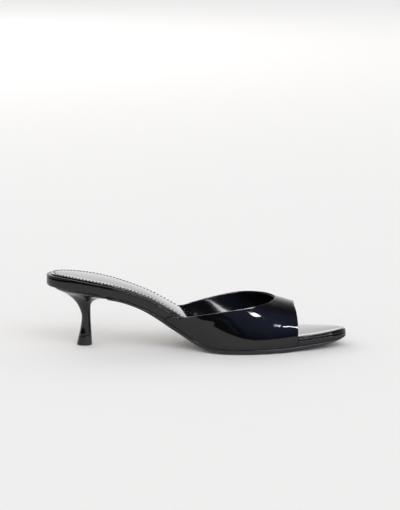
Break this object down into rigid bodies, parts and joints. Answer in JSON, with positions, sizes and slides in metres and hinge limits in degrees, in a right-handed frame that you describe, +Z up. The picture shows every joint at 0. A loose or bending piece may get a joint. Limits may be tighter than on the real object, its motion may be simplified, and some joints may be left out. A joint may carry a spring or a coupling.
{
  "type": "heeled mule",
  "caption": "Backless patent mule with an open toe, low swept wings, a wrapped sole and a slim flared kitten heel.",
  "frame": {"origin": "middle of the shoe's bounding box in plan, on the floor it stands on (Z = 0)", "axes": "+X along the shoe towards the toe, +Y towards the inner side of the foot, +Z up; the outer side faces -Y"},
  "size_m": [0.245, 0.0789, 0.0609],
  "materials": {
    "outsole": "satin black synthetic sole",
    "midsole": "glossy black patent wrap",
    "footbed": "glossy black patent band with a rolled edge",
    "insole": "smooth black lining leather with a stitched edge",
    "upper": "mirror-gloss black patent",
    "heel": "glossy black lacquer",
    "heel_tip": "satin black"
  },
  "bodies": {
    "root": {"outsole": "outsole", "midsole": "midsole", "footbed": "footbed", "insole": "insole", "upper": "upper", "heel": "heel", "heel_tip": "heel_tip"}
  },
  "joints": []
}
